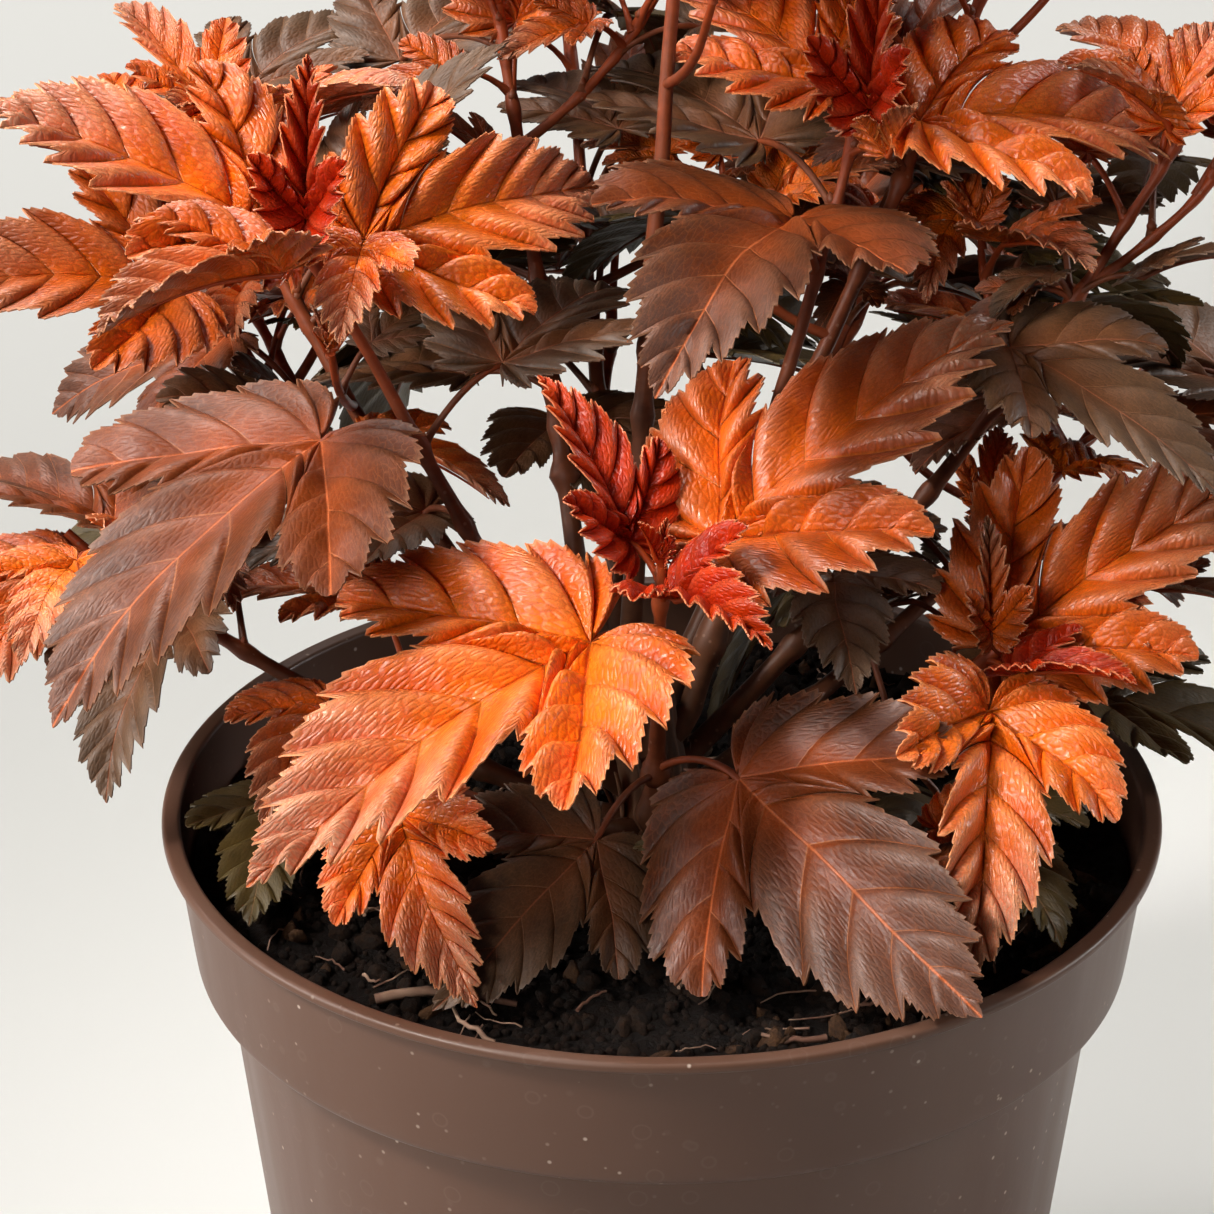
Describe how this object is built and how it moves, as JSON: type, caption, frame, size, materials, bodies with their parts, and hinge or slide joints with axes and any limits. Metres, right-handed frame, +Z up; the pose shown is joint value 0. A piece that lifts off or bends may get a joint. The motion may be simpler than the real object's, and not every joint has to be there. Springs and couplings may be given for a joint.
{
  "type": "ninebark shrub in a nursery pot",
  "caption": "Young ninebark shrub with coppery, purple-brown lobed leaves on arching shoots, growing in a round plastic nursery pot of dark potting mix.",
  "frame": {"origin": "middle of the pot's flat underside, on the surface that the pot stands on", "axes": "+Z up along the pot's axis, -Y towards the side that the picture shows, +X to its right"},
  "size_m": [0.2858, 0.2584, 0.364],
  "materials": {
    "pot_plastic": "satin",
    "potting_mix": "rough",
    "old_bark": "rough",
    "young_bark": "satin",
    "foliage": "satin"
  },
  "bodies": {
    "root": {"pot": "pot_plastic", "soil": "potting_mix", "main_stem": "old_bark", "bough_front": "young_bark", "bough_left": "young_bark", "bough_upper_right": "young_bark", "bough_right": "young_bark", "bough_low_left": "young_bark", "bough_low_front_left": "young_bark", "bough_low_front_right": "young_bark", "bough_far_right": "young_bark", "bough_low_right": "young_bark", "bough_back_left": "young_bark", "bough_back_upper_left": "young_bark", "bough_crown": "young_bark", "bough_back_upper_right": "young_bark", "bough_back": "young_bark", "bough_back_right": "young_bark", "bough_low_back_left": "young_bark", "bough_low_back_right": "young_bark", "mass_front": "foliage", "mass_left": "foliage", "mass_upper_right": "foliage", "mass_right": "foliage", "mass_low_left": "foliage", "mass_low_front_left": "foliage", "mass_low_front_right": "foliage", "mass_far_right": "foliage", "mass_low_right": "foliage", "mass_back_left": "foliage", "mass_back_upper_left": "foliage", "mass_crown": "foliage", "mass_back_upper_right": "foliage", "mass_back": "foliage", "mass_back_right": "foliage", "mass_low_back_left": "foliage", "mass_low_back_right": "foliage"}
  },
  "joints": []
}
